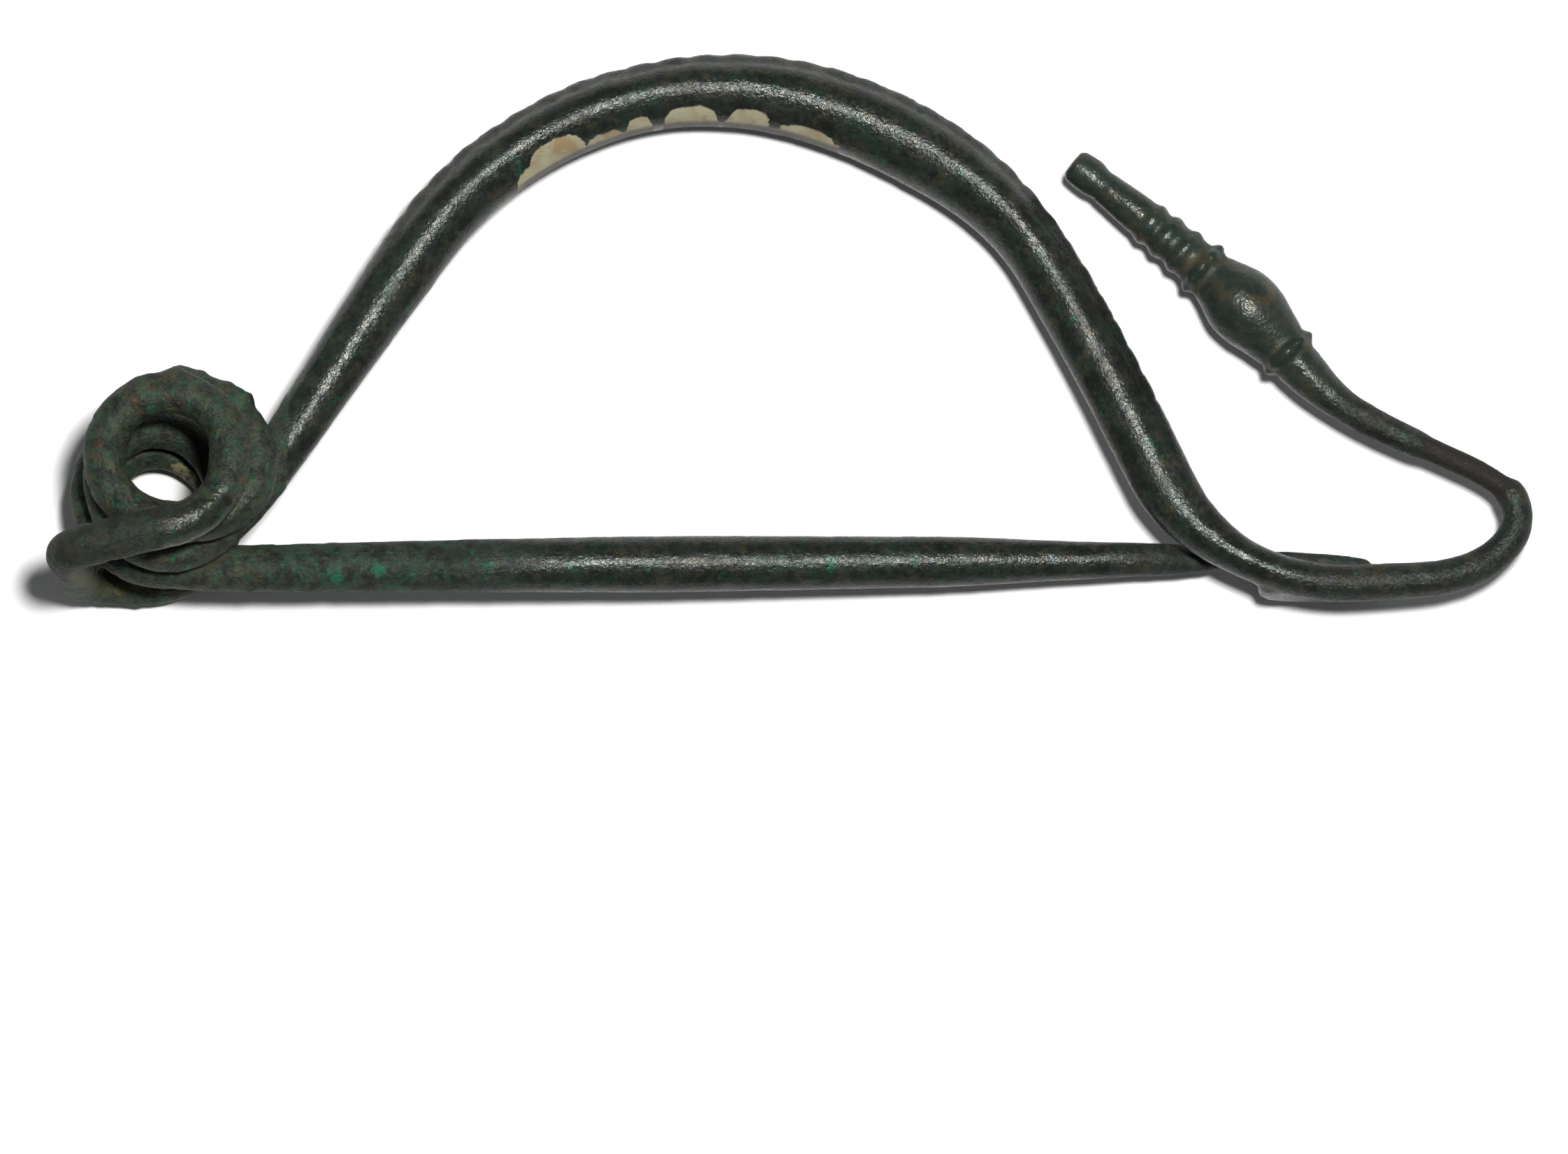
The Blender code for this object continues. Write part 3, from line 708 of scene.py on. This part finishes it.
BLACK_GREEN = (0.012, 0.015, 0.012)
GREY_GREEN = (0.030, 0.035, 0.030)
DEEP_GREEN = (0.018, 0.034, 0.026)
# Teal of the returned end, partly its own tone and partly painted sheen
TEAL_TONE_AND_SHEEN = (0.036, 0.054, 0.043)
OLIVE = (0.054, 0.056, 0.030)
OLIVE_BROWN = (0.064, 0.055, 0.031)
GREEN_FILM = (0.038, 0.070, 0.046)
MALACHITE = (0.012, 0.120, 0.062)
OCHRE = (0.100, 0.095, 0.034)
RED_BROWN = (0.085, 0.034, 0.020)
EARTH = (0.300, 0.270, 0.150)
SOIL = (0.075, 0.060, 0.030)
CREAM = (0.350, 0.318, 0.205)
CREAM_PALE = (0.400, 0.375, 0.255)
CREAM_STAIN = (0.290, 0.170, 0.065)
# Grey of the painted shade on the paint's lowest edge
PAINT_SHADE_GREY = (0.110, 0.100, 0.110)
REPAIR_BROWN = (0.023, 0.020, 0.016)
# How deep a hollow starts to show, and how deep it shows in full
HOLLOW_SHOWS = (0.10, 0.80)

hollow_socket = kept("hollow")
spring_socket = kept("spring")
root_socket = kept("pin_root")
finial_socket = kept("finial")
paint_socket = kept("paint")
paint_shade_socket = kept("paint_shade_rim")
repair_socket = kept("repair")
polished_socket = kept("polished")
in_hollows = between(hollow_socket, *HOLLOW_SHOWS)

# Body of the patina, in black, grey and green; on the returned end a teal, partly its own tone and
# partly painted sheen, and browner there
colour = laid_over(BLACK_GREEN, GREY_GREEN, spotted(0.0, 1.1, 0.38, 0.28))
colour = laid_over(colour, DEEP_GREEN, spotted(11.0, 0.6, 0.46, 0.18), 0.8)
colour = laid_over(colour, OLIVE_BROWN, spotted(17.0, 1.6, 0.50, 0.14), 0.45)
colour = laid_over(colour, BLACK_GREEN, spotted(5.0, 4.0, 0.48, 0.14), 0.7)
colour = laid_over(colour, TEAL_TONE_AND_SHEEN, finial_socket, 0.45)
film = worked("MULTIPLY", spotted(23.0, 0.9, 0.50, 0.16), finial_socket)
colour = laid_over(colour, OLIVE_BROWN, film, 0.80)

# Green, olive and brown mottling of the spring and the near end of the pin
mottled = worked("MULTIPLY", spotted(31.0, 1.7, 0.46, 0.16), spring_socket)
colour = laid_over(colour, OLIVE, mottled, 0.85)
browned = worked("MULTIPLY", spotted(61.0, 1.3, 0.50, 0.12), spring_socket)
colour = laid_over(colour, OLIVE_BROWN, browned, 0.60)
darkened = worked("MULTIPLY", spotted(67.0, 2.4, 0.50, 0.10), spring_socket)
colour = laid_over(colour, BLACK_GREEN, darkened, 0.65)
in_places = worked("MAXIMUM", worked("MULTIPLY", spring_socket, 0.5), root_socket)
greened = worked("MULTIPLY", spotted(57.0, 1.5, 0.46, 0.12), root_socket)
colour = laid_over(colour, GREEN_FILM, greened, 0.75)
greens = worked("MULTIPLY", spotted(41.0, 2.6, 0.54, 0.10), in_places)
colour = laid_over(colour, MALACHITE, greens, 0.50)
few_greens = worked("MULTIPLY", spotted(47.0, 0.9, 0.62, 0.06), spotted(53.0, 4.0, 0.45, 0.05))
colour = laid_over(colour, MALACHITE, few_greens, 0.45)
reds = worked("MULTIPLY", spotted(71.0, 1.1, 0.60, 0.10), spring_socket)
colour = laid_over(colour, RED_BROWN, reds, 0.40)
soiled = worked("MULTIPLY", in_hollows, worked("MAXIMUM", spring_socket, finial_socket))
colour = laid_over(colour, SOIL, soiled, 0.45)

# Painted shade: darker on the steep near chord, where its side turns away from the light
colour = laid_over(colour, BLACK_GREEN, kept("near_chord_shade"), 0.50)

# Green spots and soils in their own places, broken at their edges
BREAKING = 0.5
MARK_SHOWS = (0.35, 0.85)

broken = worked("MULTIPLY_ADD", spotted(29.0, 5.0, 0.35, 0.30), BREAKING, -0.5 * BREAKING)
marks = (
    ("ochre_marks", OCHRE, 0.55),
    ("earth_marks", EARTH, 0.75),
    ("red_marks", RED_BROWN, 0.55),
    ("green_marks", MALACHITE, 0.90),
)
for name, tint, strength in marks:
    mark = between(worked("ADD", kept(name), broken), *MARK_SHOWS)
    colour = laid_over(colour, tint, mark, strength)
colour = laid_over(colour, REPAIR_BROWN, repair_socket)

# Paint with an uneven edge and with stains, and below it a grey rim of painted shade, where the paint
# turns under
PAINT_UNEVEN = 0.08
PAINT_EDGE = (-0.03, 0.05)

wobble = worked("MULTIPLY_ADD", spotted(83.0, 1.6, 0.35, 0.30), PAINT_UNEVEN, -0.5 * PAINT_UNEVEN)
painted = between(worked("ADD", paint_socket, wobble), *PAINT_EDGE)
cream = laid_over(CREAM, CREAM_PALE, spotted(91.0, 1.0, 0.42, 0.20))
cream = laid_over(cream, CREAM_STAIN, spotted(89.0, 0.9, 0.50, 0.12), 0.60)
worn_off = worked("SUBTRACT", 1.0, worked("MULTIPLY", spotted(97.0, 4.0, 0.66, 0.06), 0.5))
colour = laid_over(colour, cream, worked("MULTIPLY", painted, worn_off))
colour = laid_over(colour, PAINT_SHADE_GREY, paint_shade_socket, 0.85)
links.new(colour, shader.inputs["Base Color"])

# Polished by handling on the bow, the pin and the ridges of the returned end, and dull on the
# spring, in hollows, on the repair and on paint
ROUGH_AT_FIRST = 0.54
ROUGH_AT_MOST = 0.92
RIDGE_SHOWS = (0.0, 0.60)

ridges = between(worked("MULTIPLY", hollow_socket, -1.0), *RIDGE_SHOWS)
raised = worked("MULTIPLY", ridges, finial_socket)

roughened = (
    (polished_socket, -0.32),
    (spotted(3.0, 5.5, 0.42, 0.22), 0.14),
    (spotted(37.0, 0.22, 0.42, 0.20), 0.08),
    (finial_socket, -0.10),
    (raised, -0.10),
    (in_hollows, 0.20),
    (repair_socket, 0.20),
    (painted, 0.35),
)
rough = ROUGH_AT_FIRST
for mask, change in roughened:
    rough = worked("MULTIPLY_ADD", mask, change, rough)
links.new(worked("MINIMUM", rough, ROUGH_AT_MOST), shader.inputs["Roughness"])

# Fine grain all over, with streaks that follow the wire and show where it is polished. It is
# coarser where the wire is dull, and finer again on the returned end.
GRAIN_SCALE = 6.0
GRAIN_DEPTH = 0.052 * MM
GRAIN_STRENGTH = 0.60
STREAKS_DRAWN_OUT = (0.9, 5.0, 5.0)
STREAKS_SHARE = 0.35
DULL_COARSER = 2.0
FINIAL_FINER = 1.3

grain = nodes.new("ShaderNodeTexNoise")
grain.inputs["Scale"].default_value = GRAIN_SCALE
grain.inputs["Detail"].default_value = 2.0
grain.inputs["Roughness"].default_value = 0.65
links.new(in_mm.outputs["Vector"], grain.inputs["Vector"])
following = nodes.new("ShaderNodeAttribute")
following.attribute_name = "along_wire"
drawn_out = nodes.new("ShaderNodeVectorMath")
drawn_out.operation = "MULTIPLY"
drawn_out.inputs[1].default_value = STREAKS_DRAWN_OUT
links.new(following.outputs["Vector"], drawn_out.inputs[0])
streaks = nodes.new("ShaderNodeTexNoise")
streaks.inputs["Scale"].default_value = 1.0
streaks.inputs["Detail"].default_value = 3.0
links.new(drawn_out.outputs["Vector"], streaks.inputs["Vector"])
shown_streaks = worked("MULTIPLY", streaks.outputs["Fac"], polished_socket)
grain_height = worked("MULTIPLY_ADD", shown_streaks, STREAKS_SHARE, grain.outputs["Fac"])
coarser = worked("MULTIPLY_ADD", worked("SUBTRACT", 1.0, polished_socket), DULL_COARSER, 1.0)
coarser = worked("MULTIPLY_ADD", finial_socket, -FINIAL_FINER, coarser)
grain_bump = nodes.new("ShaderNodeBump")
grain_bump.inputs["Strength"].default_value = GRAIN_STRENGTH
grain_bump.inputs["Distance"].default_value = GRAIN_DEPTH
links.new(worked("MULTIPLY", grain_height, coarser), grain_bump.inputs["Height"])
links.new(grain_bump.outputs["Normal"], shader.inputs["Normal"])

# Mostly mineral, a little of it metal, and dark where it is seen at a slant
MIRRORED = 0.72
METAL_SHARE = 0.25
SLANT_TINT = (0.38, 0.37, 0.37)

shader.inputs["Specular IOR Level"].default_value = MIRRORED
shader.inputs["Metallic"].default_value = METAL_SHARE
shader.inputs["Specular Tint"].default_value = (*SLANT_TINT, 1.0)

wire.data.materials.clear()
wire.data.materials.append(bronze)

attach(wire, "root")
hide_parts("brooch")
